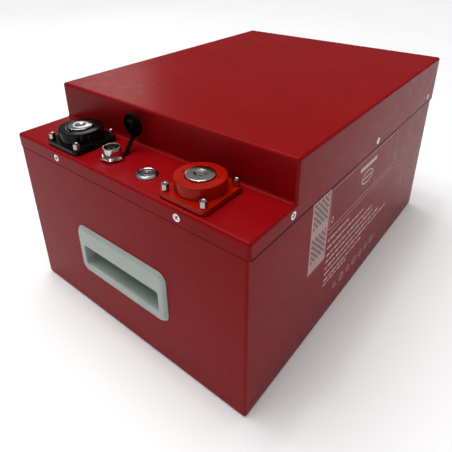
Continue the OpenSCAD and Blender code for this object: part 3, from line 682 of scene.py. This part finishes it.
def terminal(side, material):
    """One power terminal: moulded base, contact disc with its tapped hole, four standoffs."""
    base_low, base_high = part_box(f"{side}_base")
    disc_low, disc_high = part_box(f"{side}_insert")
    spot = centre(f"{side}_insert")
    place = upright(spot)
    flange_w = base_high.x - base_low.x
    pad_top = DECK_Z + 0.5 * MM
    flange_top = pad_top + 4 * MM
    boss_r = 18.35 * MM
    boss_top = base_high.z
    disc_r = (disc_high.x - disc_low.x) / 2
    mesh = bmesh.new()
    rings = []
    for inset, height, radius in ((0.2, 0, 4.8), (0, 0.2, 5), (0, 3.4, 5), (0.18, 3.82, 4.8),
                                  (0.6, 4.0, 4.4)):
        side_w = flange_w - 2 * inset * MM
        outline = rounded_rect(side_w, side_w, radius * MM, 8)
        rings.append([place @ Vector((x, y, pad_top + height * MM)) for x, y in outline])
    skin(mesh, rings)
    top_r = 0.8 * MM
    foot_r = 0.4 * MM
    profile = [(0, flange_top - 1 * MM), (boss_r + foot_r, flange_top - 0.1 * MM)]
    profile += arc(boss_r + foot_r, flange_top + foot_r, foot_r, 270, 180, 4)
    profile += arc(boss_r - top_r, boss_top - top_r, top_r, 0, 90, 6)
    seat = boss_top - 2.5 * MM
    profile += [(disc_r + 2.0 * MM, boss_top), (disc_r + 0.9 * MM, boss_top),
                (disc_r + 0.35 * MM, boss_top - 0.25 * MM),
                (disc_r + 0.15 * MM, boss_top - 0.8 * MM), (disc_r + 0.05 * MM, seat), (0, seat)]
    lathe(mesh, profile, place, 96)
    neck_r, neck_top = 10 * MM, pad_top + 1 * MM
    lathe(mesh, [(0, base_low.z), (neck_r - 0.4 * MM, base_low.z),
                 (neck_r, base_low.z + 0.4 * MM), (neck_r, neck_top), (0, neck_top)], place, 48)
    for degrees in (20, 110, 200, 290):
        rib(mesh, place, math.radians(degrees), disc_r + 2.2 * MM, boss_top)
    add_piece(f"{side}_terminal_base", mesh, "case", material, replaced=[f"{side}_base"])

    disc = bmesh.new()
    face, under, stem_r = disc_high.z, boss_top - 2.6 * MM, 6 * MM
    hole, mouth = 3.4 * MM, 4.75 * MM
    profile = [(0, disc_low.z), (stem_r - 0.4 * MM, disc_low.z), (stem_r, disc_low.z + 0.4 * MM),
               (stem_r, under), (disc_r, under), (disc_r, face - 0.8 * MM),
               (disc_r - 0.2 * MM, face - 0.35 * MM), (disc_r - 0.85 * MM, face),
               (mouth + 0.1 * MM, face), (mouth - 0.1 * MM, face - 0.12 * MM)]
    profile += thread(hole, 0.5 * MM, 1.25 * MM, face - (mouth - hole), face - 16 * MM)
    profile += [(0, face - 17.5 * MM)]
    lathe(disc, profile, place, 72)
    finish = turned_metal(f"{side}_contact_metal", (0.40, 0.42, 0.41), spot, 0.12)
    add_piece(f"{side}_contact_disc", disc, "case", finish,
              replaced=[f"{side}_insert"])

    studs = bmesh.new()
    for low, high in solids(f"{side}_standoffs"):
        standoff(studs, (low + high) / 2, flange_top, high.z, low.z)
    add_piece(f"{side}_standoff_set", studs, "case", NICKEL,
              replaced=[f"{side}_standoffs"])


def rib(mesh, place, angle, radius, top):
    """A short raised rib on the boss, beside the disc."""
    turn = place @ Matrix.Rotation(angle, 4, "Z")
    length, width, rise, corner = 3.4 * MM, 1.1 * MM, 0.45 * MM, 0.45 * MM
    rings = []
    for grow, height in ((0, -0.2 * MM), (0, rise * 0.5), (-0.25 * MM, rise)):
        outline = rounded_rect(width + 2 * grow, length + 2 * grow, corner, 4, (radius, 0))
        rings.append([turn @ Vector((x, y, top + height)) for x, y in outline])
    skin(mesh, rings)


def standoff(mesh, spot, foot, top, stud_end):
    """Hexagon standoff with turned ends and a tapped hole, on its own stud."""
    flats = 5.0 * MM
    edge = flats / 2 * 0.985
    place = upright(spot)
    corner = flats / math.sqrt(3)
    levels = [(foot, edge), (foot + 0.35 * MM, corner), (top - 0.45 * MM, corner),
              (top - 0.2 * MM, (corner + edge) / 2), (top, edge)]
    hole = [(1.75 * MM, top), (1.5 * MM, top - 0.25 * MM)]
    hole += thread(1.25 * MM, 0.25 * MM, 0.5 * MM, top - 0.4 * MM, top - 4.4 * MM)
    rings = hex_rings(flats, levels) + [circle(radius, height) for radius, height in hole]
    skin(mesh, [[place @ Vector(p) for p in ring] for ring in rings])
    lathe(mesh, [(0, stud_end), (1.2 * MM, stud_end), (1.5 * MM, stud_end + 0.3 * MM),
                 (1.5 * MM, foot + 0.2 * MM), (0, foot + 0.2 * MM)], place, 24)


# ---- connector and cap


def connector():
    """Chrome barrel with its hexagon nut, and the black insert with gold pins."""
    low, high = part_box("connector_shell")
    spot = centre("connector_shell")
    place = upright(spot)
    nut_low, nut_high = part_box("connector_nut")
    bore = 6.2 * MM
    foot, rim = low.z, high.z
    collar_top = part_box("connector_seal")[0].z
    collar_foot = collar_top - 2 * MM
    ring_groove = BARREL_R - 0.18 * MM
    mesh = bmesh.new()
    profile = [(bore, foot), (BARREL_R - 0.3 * MM, foot), (BARREL_R, foot + 0.3 * MM),
               (BARREL_R, collar_foot), (FLANGE_R, collar_foot), (FLANGE_R, collar_top),
               (BARREL_R, collar_top), (BARREL_R, rim - 1.5 * MM), (ring_groove, rim - 1.3 * MM),
               (ring_groove, rim - 1.0 * MM), (BARREL_R, rim - 0.8 * MM),
               (BARREL_R, rim - 0.3 * MM), (BARREL_R - 0.2 * MM, rim - 0.05 * MM),
               (BARREL_R - 0.4 * MM, rim), (bore + 0.3 * MM, rim), (bore, rim - 0.3 * MM),
               (bore, foot)]
    lathe(mesh, profile, place, 72)
    weld(mesh)
    shell = add_piece("connector_barrel", mesh, "case", CHROME,
                      replaced=["connector_shell"])
    marks = bmesh.new()
    groove = place @ Matrix.Rotation(math.radians(-65), 4, "Z")
    groove_depth = groove_half = 0.35 * MM
    corners = [groove @ Vector((BARREL_R - groove_depth + 2 * MM * a, groove_half * b, 0))
               for a, b in ((0, -1), (1, -1), (1, 1), (0, 1))]
    skin(marks, [[Vector((c.x, c.y, z)) for c in corners]
                 for z in (nut_high.z + 0.4 * MM, rim - 1.9 * MM)])
    facing = math.radians(-92)
    hole_r, near, far = 0.75 * MM, 4 * MM, 9 * MM
    lathe(marks, [(0, near), (hole_r, near), (hole_r, far), (0, far)],
          along(Vector((spot.x, spot.y, rim - 3.6 * MM)),
                Vector((math.cos(facing), math.sin(facing), 0))), 24)
    cut(shell, marks, CHROME)

    nut = bmesh.new()
    flats = 17 * MM
    corner = flats / math.sqrt(3)
    edge = flats / 2 * 0.99
    levels = [(nut_low.z, edge), (nut_low.z + 0.3 * MM, corner), (nut_high.z - 1.3 * MM, corner),
              (nut_high.z, edge * 0.95)]
    bored = [circle(7.3 * MM, z) for z in (nut_high.z, nut_low.z)]
    turn = place @ Matrix.Rotation(math.radians(-20), 4, "Z")
    rings = [[turn @ Vector(p) for p in ring] for ring in hex_rings(flats, levels) + bored]
    rings.append(rings[0])
    skin(nut, rings, cap_first=False, cap_last=False)
    weld(nut)
    add_piece("connector_hex_nut", nut, "case", CHROME,
              replaced=["connector_nut"])

    core = bmesh.new()
    core_low, core_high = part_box("connector_insert")
    core_foot, core_top, core_r = core_low.z, core_high.z, 6.12 * MM
    lathe(core, [(0, core_foot), (core_r, core_foot), (core_r, core_top - 0.3 * MM),
                 (core_r - 0.3 * MM, core_top), (core_r - 1.0 * MM, core_top),
                 (core_r - 1.2 * MM, core_top - 0.5 * MM), (0, core_top - 0.5 * MM)], place, 48)
    key_half = 0.5 * MM
    box_mesh(core, (spot.x - key_half, spot.y + 4.6 * MM, core_top - 1 * MM),
             (spot.x + key_half, spot.y + 6.05 * MM, core_top + 2.2 * MM))
    add_piece("connector_core", core, "case", INSERT,
              replaced=["connector_insert"])

    pins = bmesh.new()
    pin_r = 0.5 * MM
    for pin_low, pin_high in solids("connector_pins"):
        lathe(pins, [(0, pin_low.z), (pin_r * 0.8, pin_low.z), (pin_r, pin_low.z + 0.2 * MM),
                     (pin_r, pin_high.z - 0.4 * MM), (pin_r * 0.75, pin_high.z - 0.12 * MM),
                     (0, pin_high.z)], upright((pin_low + pin_high) / 2), 16)
    add_piece("connector_pin_set", pins, "case", GOLD, replaced=["connector_pins"])


def cap_place():
    """Turns a shape drawn over the connector, where the cap is closed, to its rest at the wall."""
    return (Matrix.Translation(CAP_HINGE) @ Matrix.Rotation(-CAP_SWING, 4, "X")
            @ Matrix.Translation(-CAP_HINGE))


def dust_cap():
    """Moulded rubber cap: flange with a rolled edge, hollow plug, and a grip ring on its back."""
    spot = centre("connector_shell")
    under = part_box("connector_shell")[1].z + 0.3 * MM
    place = cap_place() @ Matrix.Translation((spot.x, spot.y, under))
    radius, low_bend, high_bend = 10 * MM, 0.9 * MM, 0.8 * MM
    mesh = bmesh.new()
    profile = in_mm((0, -1.0), (3.0, -1.0), (3.3, -1.2), (3.4, -2.5), (3.7, -2.8), (4.1, -2.8),
                    (4.35, -2.5), (5.15, -0.4), (5.5, 0), (6.2, 0), (6.5, 0.6), (8.3, 0.6),
                    (8.7, 0))
    profile += arc(radius - low_bend, low_bend, low_bend, 270, 360, 4)
    profile += arc(radius - high_bend, 2.2 * MM, high_bend, 0, 90, 4)
    profile += in_mm((6.4, 3), (6.1, 2.7), (0, 2.7))
    lathe(mesh, profile, place)
    add_piece("rubber_dust_cap", mesh, "cap", RUBBER, replaced=["dust_cap"])


def cap_band():
    """Rubber strap: a flat ring under the nut, and a band that bends up to the cap."""
    spot = centre("connector_shell")
    foot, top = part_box("cap_strap")[0].z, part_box("connector_nut")[0].z
    mesh = bmesh.new()
    bore, edge = 7.25 * MM, 0.2 * MM
    profile = [(bore, foot), (FLANGE_R - edge, foot), (FLANGE_R, foot + edge),
               (FLANGE_R, top - edge), (FLANGE_R - edge, top), (bore, top), (bore, foot)]
    lathe(mesh, profile, upright(spot))
    weld(mesh)
    thick, width = 1.3 * MM, 4.2 * MM
    base = foot + thick / 2
    leaving = math.radians(75)
    link_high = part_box("cap_link")[1]
    joins = Vector((spot.x, link_high.y - 0.6 * MM, link_high.z + 0.2 * MM))
    route = [Vector((spot.x + reach * math.cos(leaving), spot.y + reach * math.sin(leaving),
                     base)) for reach in (8.9 * MM, 11.0 * MM)]
    route += [Vector((spot.x + 2.4 * MM, CAP_HINGE.y - 3.0 * MM, base + 2.0 * MM)),
              Vector((spot.x + 1.4 * MM, CAP_HINGE.y - 0.6 * MM, CAP_HINGE.z - 0.7 * MM)),
              Vector((spot.x + 0.5 * MM, CAP_HINGE.y + 2.8 * MM, CAP_HINGE.z + 2.2 * MM)),
              joins, joins + Vector((0, 0.2 * MM, 3.0 * MM))]
    path = smooth_path(route, 5)
    outline = rounded_rect(width, thick, 0.45 * MM, 3)
    rings = []
    for index, point in enumerate(path):
        ahead = (path[min(index + 1, len(path) - 1)] - path[max(index - 1, 0)]).normalized()
        across = Vector((1, 0, 0)) - ahead * ahead.x
        across.normalize()
        normal = across.cross(ahead)
        rings.append([point + across * u + normal * v for u, v in outline])
    skin(mesh, rings)
    piece = add_piece("cap_strap_band", mesh, None, RUBBER,
                      replaced=["cap_strap", "cap_link"])
    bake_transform(piece)


def smooth_path(points, steps):
    """Catmull-Rom curve through points, with steps points for each stretch."""
    path = []
    for i in range(len(points) - 1):
        a, b = points[max(i - 1, 0)], points[i]
        c, d = points[i + 1], points[min(i + 2, len(points) - 1)]
        for k in range(steps):
            t = k / steps
            path.append(0.5 * (2 * b + (c - a) * t + (2 * a - 5 * b + 4 * c - d) * t * t
                               + (3 * b - 3 * c + d - a) * t * t * t))
    return path + [points[-1]]


# ---- push button


def push_button():
    """Bevelled bezel and a turned plunger with a plain ring mark."""
    low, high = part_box("button_bezel")
    spot = centre("button_bezel")
    foot, top = low.z, high.z
    shank, flange, bore, counterbore = 8 * MM, 8.75 * MM, 6.1 * MM, 6.9 * MM
    guide_foot = DECK_Z - 2 * MM
    mesh = bmesh.new()
    profile = [(counterbore, foot), (shank - 0.3 * MM, foot), (shank, foot + 0.3 * MM),
               (shank, DECK_Z), (flange, DECK_Z), (flange, DECK_Z + 0.5 * MM),
               (flange - 0.15 * MM, DECK_Z + 0.8 * MM), (7.4 * MM, top - 0.1 * MM),
               (7.1 * MM, top), (6.6 * MM, top), (bore, top - 0.35 * MM), (bore, guide_foot),
               (counterbore, guide_foot), (counterbore, foot)]
    lathe(mesh, profile, upright(spot), 80)
    weld(mesh)
    add_piece("button_bezel_ring", mesh, "case", BEZEL,
              replaced=["button_bezel"])

    low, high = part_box("button_plunger")
    foot, top = low.z, high.z
    head_r, collar_r, collar_top = 6 * MM, 6.7 * MM, foot + 3 * MM
    mesh = bmesh.new()
    profile = [(0, foot), (collar_r - 0.2 * MM, foot), (collar_r, foot + 0.2 * MM),
               (collar_r, collar_top), (head_r, collar_top), (head_r, top - 0.3 * MM),
               (head_r - 0.25 * MM, top), (4.1 * MM, top), (3.95 * MM, top - 0.3 * MM),
               (3.35 * MM, top - 0.3 * MM), (3.2 * MM, top - 0.05 * MM),
               (1.0 * MM, top - 0.12 * MM), (0.7 * MM, top - 0.35 * MM), (0, top - 0.35 * MM)]
    lathe(mesh, profile, upright(spot), 80)
    finish = turned_metal("button_metal", (0.50, 0.51, 0.53), spot, 0.2)
    add_piece("button_plunger_head", mesh, "button", finish,
              replaced=["button_plunger"])


def coil_spring(material):
    """Return spring between the switch block and the plunger."""
    low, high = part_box("button_spring")
    spot = centre("button_bezel")
    wire = 0.35 * MM  # radius
    radius = (high.x - low.x) / 2 - wire
    foot, head = low.z + wire, high.z - wire
    turns, steps, sides = 4, 28, 10
    mesh = bmesh.new()
    rings = []
    for index in range(turns * steps + 1):
        angle = TURN * index / steps
        out = Vector((math.cos(angle), math.sin(angle), 0))
        height = foot + (head - foot) * index / (turns * steps)
        middle = Vector((spot.x, spot.y, height)) + out * radius
        rings.append([middle + (out * u + UP * v) for u, v, _ in circle(wire, 0, sides)])
    skin(mesh, rings)
    piece = add_piece("button_return_spring", mesh, None, material,
                      replaced=["button_spring"])
    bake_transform(piece)


# ---- printed side


def side_place(along_y, height, lift):
    """A point on the right side: distance from the front face, height, and lift off the paint."""
    return Vector((CASE_HIGH.x + lift, CASE_LOW.y + along_y, height))


def flat_shape(mesh, outline, lift, thick):
    """A thin closed plate on the right side, from an outline of (distance, height)."""
    skin(mesh, [[side_place(u, v, lift + rise) for u, v in outline] for rise in (0, thick)])


def bar(mesh, u0, u1, v, width, lift, thick):
    """A level bar from u0 to u1, with its middle at height v."""
    outline = rounded_rect(u1 - u0, width, width * 0.35, 2, ((u0 + u1) / 2, v))
    flat_shape(mesh, outline, lift, thick)


def oval(middle, half_w, half_h, points, start=0.0):
    """Points round an oval on the side, from a start in turns."""
    return [(middle[0] + half_w * math.cos(TURN * (k / points + start)),
             middle[1] + half_h * math.sin(TURN * (k / points + start)))
            for k in range(points)]


def stroke(mesh, outline, width, lift, thick):
    """A closed line of the given width around an outline of (distance, height)."""
    middle_u = sum(u for u, v in outline) / len(outline)
    middle_v = sum(v for u, v in outline) / len(outline)
    rings = []
    for scale_in, rise in ((0, 0), (1, 0), (1, 1), (0, 1), (0, 0)):
        ring = []
        for u, v in outline:
            reach = math.hypot(u - middle_u, v - middle_v)
            shrink = 1 - scale_in * width / reach
            ring.append(side_place(middle_u + (u - middle_u) * shrink,
                                   middle_v + (v - middle_v) * shrink, lift + thick * rise))
        rings.append(ring)
    skin(mesh, rings, cap_first=False, cap_last=False)
    weld(mesh)


def side_sticker():
    """Film sticker with two dark squares of plain dots."""
    low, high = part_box("side_label")
    film = bmesh.new()
    u0, u1 = low.y - CASE_LOW.y, high.y - CASE_LOW.y
    middle_u = (u0 + u1) / 2
    outline = rounded_rect(u1 - u0, high.z - low.z, 1.2 * MM, 4,
                           (middle_u, (low.z + high.z) / 2))
    lift, film_thick, ink_thick = 0.01 * MM, 0.1 * MM, 0.03 * MM
    flat_shape(film, outline, lift, film_thick)
    add_piece("side_sticker_film", film, "case", FILM, replaced=["side_label"])
    marks = bmesh.new()
    dots = 9
    pitch = 23.5 * MM / dots
    dot = pitch * 0.98
    for middle_v in (high.z - 14.5 * MM, low.z + 21.5 * MM):
        for row in range(dots):
            for column in range(dots):
                if (row + column) % 2 == 0:
                    spot = (middle_u + (column - dots // 2) * pitch,
                            middle_v + (row - dots // 2) * pitch)
                    flat_shape(marks, rounded_rect(dot, dot, 0.2 * MM, 1, spot),
                               lift + film_thick, ink_thick)
    add_piece("side_sticker_marks", marks, "case", INK_DARK)


def side_print():
    """Pale generic print: two frames, dashed rows in place of writing, and plain signs."""
    ink = bmesh.new()
    lift, thick = 0.01 * MM, 0.05 * MM
    line = 0.45 * MM
    frame_u, frame_v = (111 * MM, 256 * MM), (101.5 * MM, 139 * MM)
    for v in (frame_v[1], frame_v[0], 97 * MM):
        bar(ink, frame_u[0], frame_u[1], v, line, lift, thick)
    for u in frame_u:
        outline = rounded_rect(line, frame_v[1] - frame_v[0], line * 0.3, 2,
                               (u, (frame_v[0] + frame_v[1]) / 2))
        flat_shape(ink, outline, lift, thick)
    # rows in place of writing, in millimetres: height, length
    rows = ((90, 40), (82, 74), (74, 98), (67.5, 102), (60.5, 118), (54, 143), (47, 80), (42, 46))
    margin, gap = 112, 1.4
    for index, (height, length) in enumerate(rows):
        start, step = margin, 0
        while start < margin + length:
            word = 3.2 + (7 * index + 5 * step) % 9 * 0.8
            end = min(start + word, margin + length)
            bar(ink, start * MM, end * MM, height * MM, 2.1 * MM, lift, thick)
            start = end + gap
            step += 1
    # signs along the foot of the print: corners of each outline
    for index, corners in enumerate((3, 24, 4, 24, 6, 4, 24)):
        middle = (137.5 * MM + 14.3 * MM * index, 25 * MM)
        stroke(ink, oval(middle, 4.6 * MM, 4.6 * MM, corners, 0.25), 0.9 * MM, lift, thick)
        bar(ink, middle[0] - 1.6 * MM, middle[0] + 1.6 * MM, middle[1], 1.0 * MM, lift, thick)
    emblem = (184 * MM, 118.5 * MM)
    stroke(ink, oval(emblem, 13 * MM, 6.5 * MM, 40), 1.6 * MM, lift, thick)
    bar(ink, 165 * MM, 203 * MM, 131 * MM, 4 * MM, lift, thick)
    bar(ink, emblem[0] - 10 * MM, emblem[0] + 10 * MM, emblem[1], 1.6 * MM, lift, thick)
    small_sign = (116.5 * MM, 109 * MM)
    stroke(ink, oval(small_sign, 2.2 * MM, 3.2 * MM, 20), 0.8 * MM, lift, thick)
    add_piece("side_print_marks", ink, "case", INK_PALE)


# ---- inside and small parts


def paint_inside():
    """Materials of the CAD nodes that stay as they are."""
    cells = [node for node in NODES if node.startswith("cell_") and node[5:].isdigit()]
    for material, nodes in (
            (rolled_metal("zinc_plate", (0.62, 0.63, 0.64)),
             ("rim_frame", "lid_nuts", "handle_nuts", "terminal_nuts", "button_nut",
              "cell_straps")),
            (rolled_metal("mill_aluminium", (0.70, 0.71, 0.72), 0.35),
             ("end_plates", "bms_heatsink")),
            (rolled_metal("busbar_copper", (0.80, 0.42, 0.24), 0.3, (10, 1, 1)), ("busbars",)),
            (rolled_metal("tinned_copper", (0.66, 0.60, 0.54), 0.34), ("cable_lugs",)),
            (rubber("foam_black", (0.02, 0.02, 0.021), 0.8), ("seam_gasket", "foam_pads")),
            (RUBBER, ("terminal_gaskets", "connector_seal")),
            (plain_plastic("cell_blue_film", (0.03, 0.10, 0.38), 0.32), cells),
            (plain_plastic("board_green", (0.015, 0.12, 0.05), 0.35), ("bms_board",)),
            (plain_plastic("spacer_board", (0.62, 0.58, 0.46), 0.55),
             ("cell_spacers", "bms_tray")),
            (plain_plastic("moulded_dark", (0.03, 0.03, 0.03), 0.45),
             ("fuse", "button_switch")),
            (rubber("cable_red", (0.42, 0.01, 0.012), 0.45), ("positive_cable",)),
            (rubber("cable_black", (0.015, 0.015, 0.016), 0.45),
             ("negative_cable", "signal_leads"))):
        for node in nodes:
            NODES[node].data.materials.clear()
            NODES[node].data.materials.append(material)


# ---- studio


def studio():
    """Pale floor, soft light from above and a bright surround."""
    mesh = bmesh.new()
    reach, depth = 6.0, -0.5 * MM
    mesh.faces.new([mesh.verts.new((x * reach, y * reach, depth))
                    for x, y in ((-1, -1), (1, -1), (1, 1), (-1, 1))])
    floor = mesh_object("studio_floor", mesh)
    paint = Paint("studio_white", (0.88, 0.88, 0.88), 0.6)
    paint.vary_roughness(0.3, 0.55, 0.65)
    floor.data.materials.append(paint.material)

    overhead_light(strength=2.25, tilt_deg=12, heading_deg=200, spread_deg=52)
    soft_box("glint_left", (-1.1, -0.35, 1.35), 0.16, 1.4)
    soft_box("glint_above", (-0.15, -0.1, 1.6), 0.14, 2.4)
    soft_box("glint_back", (-1.35, 0.80, 0.80), 0.35, 0.8)

    world = bpy.data.worlds.new("studio_world")
    bpy.context.scene.world = world
    world.use_nodes = True
    tree = world.node_tree
    background = tree.nodes["Background"]
    place = tree.nodes.new("ShaderNodeTexCoord")
    split = tree.nodes.new("ShaderNodeSeparateXYZ")
    ramp = tree.nodes.new("ShaderNodeMapRange")
    set_inputs(ramp, From_Min=0.1, From_Max=0.9, To_Min=0.04, To_Max=0.55)
    tree.links.new(place.outputs["Generated"], split.inputs["Vector"])
    tree.links.new(split.outputs["Z"], ramp.inputs["Value"])
    tree.links.new(ramp.outputs["Result"], background.inputs["Strength"])
    set_inputs(background, Color=(1, 1, 1, 1))


def overhead_light(strength, tilt_deg, heading_deg, spread_deg):
    """A broad, even light from high up, as from a large diffuser over the table."""
    data = bpy.data.lights.new("overhead", "SUN")
    data.energy = strength
    data.angle = math.radians(spread_deg)
    light = put_in_scene("overhead", data)
    tilt, heading = math.radians(tilt_deg), math.radians(heading_deg)
    toward = Vector((math.sin(tilt) * math.cos(heading), math.sin(tilt) * math.sin(heading),
                     math.cos(tilt)))
    light.rotation_euler = (-toward).to_track_quat("-Z", "Y").to_euler()


def soft_box(name, location, size, power):
    """A small square lamp aimed at the box, for glints on gloss and metal."""
    data = bpy.data.lights.new(name, "AREA")
    data.shape = "SQUARE"
    data.size = size
    data.energy = power
    light = put_in_scene(name, data)
    light.location = location
    aim = Vector((0, 0, DECK_Z)) - Vector(location)
    light.rotation_euler = aim.to_track_quat("-Z", "Y").to_euler()


def camera():
    """The viewpoint: above the front right corner, near, with the frame shifted down."""
    azimuth, elevation, roll = math.radians(38.8), math.radians(25.88), math.radians(-0.52)
    position = (0.2425, -0.3434, 0.3166)
    back = Vector((math.sin(azimuth) * math.cos(elevation),
                   -math.cos(azimuth) * math.cos(elevation), math.sin(elevation)))
    right = (-back).cross(UP).normalized()
    up = right.cross(-back)
    tilted_right = right * math.cos(roll) + up * math.sin(roll)
    tilted_up = up * math.cos(roll) - right * math.sin(roll)
    data = bpy.data.cameras.new("view")
    data.sensor_width = 36
    data.lens = 34.96
    data.shift_y = -0.177
    data.clip_start = 0.01
    view = put_in_scene("view", data)
    spin = Matrix((tilted_right, tilted_up, back)).transposed().to_4x4()
    view.matrix_world = Matrix.Translation(position) @ spin
    bpy.context.scene.camera = view


# ---- assembly

camera()
studio()
bpy.context.scene.view_settings.view_transform = "Standard"

case_shell()
lid_shell()
seam_shadow_strip()
lid_screws()
pull("front_pull", "front_handle", Matrix.Identity(4))
pull("rear_pull", "rear_handle", Matrix.Rotation(math.pi, 4, "Z"))
terminal("positive", ORANGE)
terminal("negative", BLACK)
connector()
dust_cap()
cap_band()
push_button()
coil_spring(rolled_metal("spring_wire", (0.55, 0.55, 0.55), 0.3))
side_sticker()
side_print()
paint_inside()
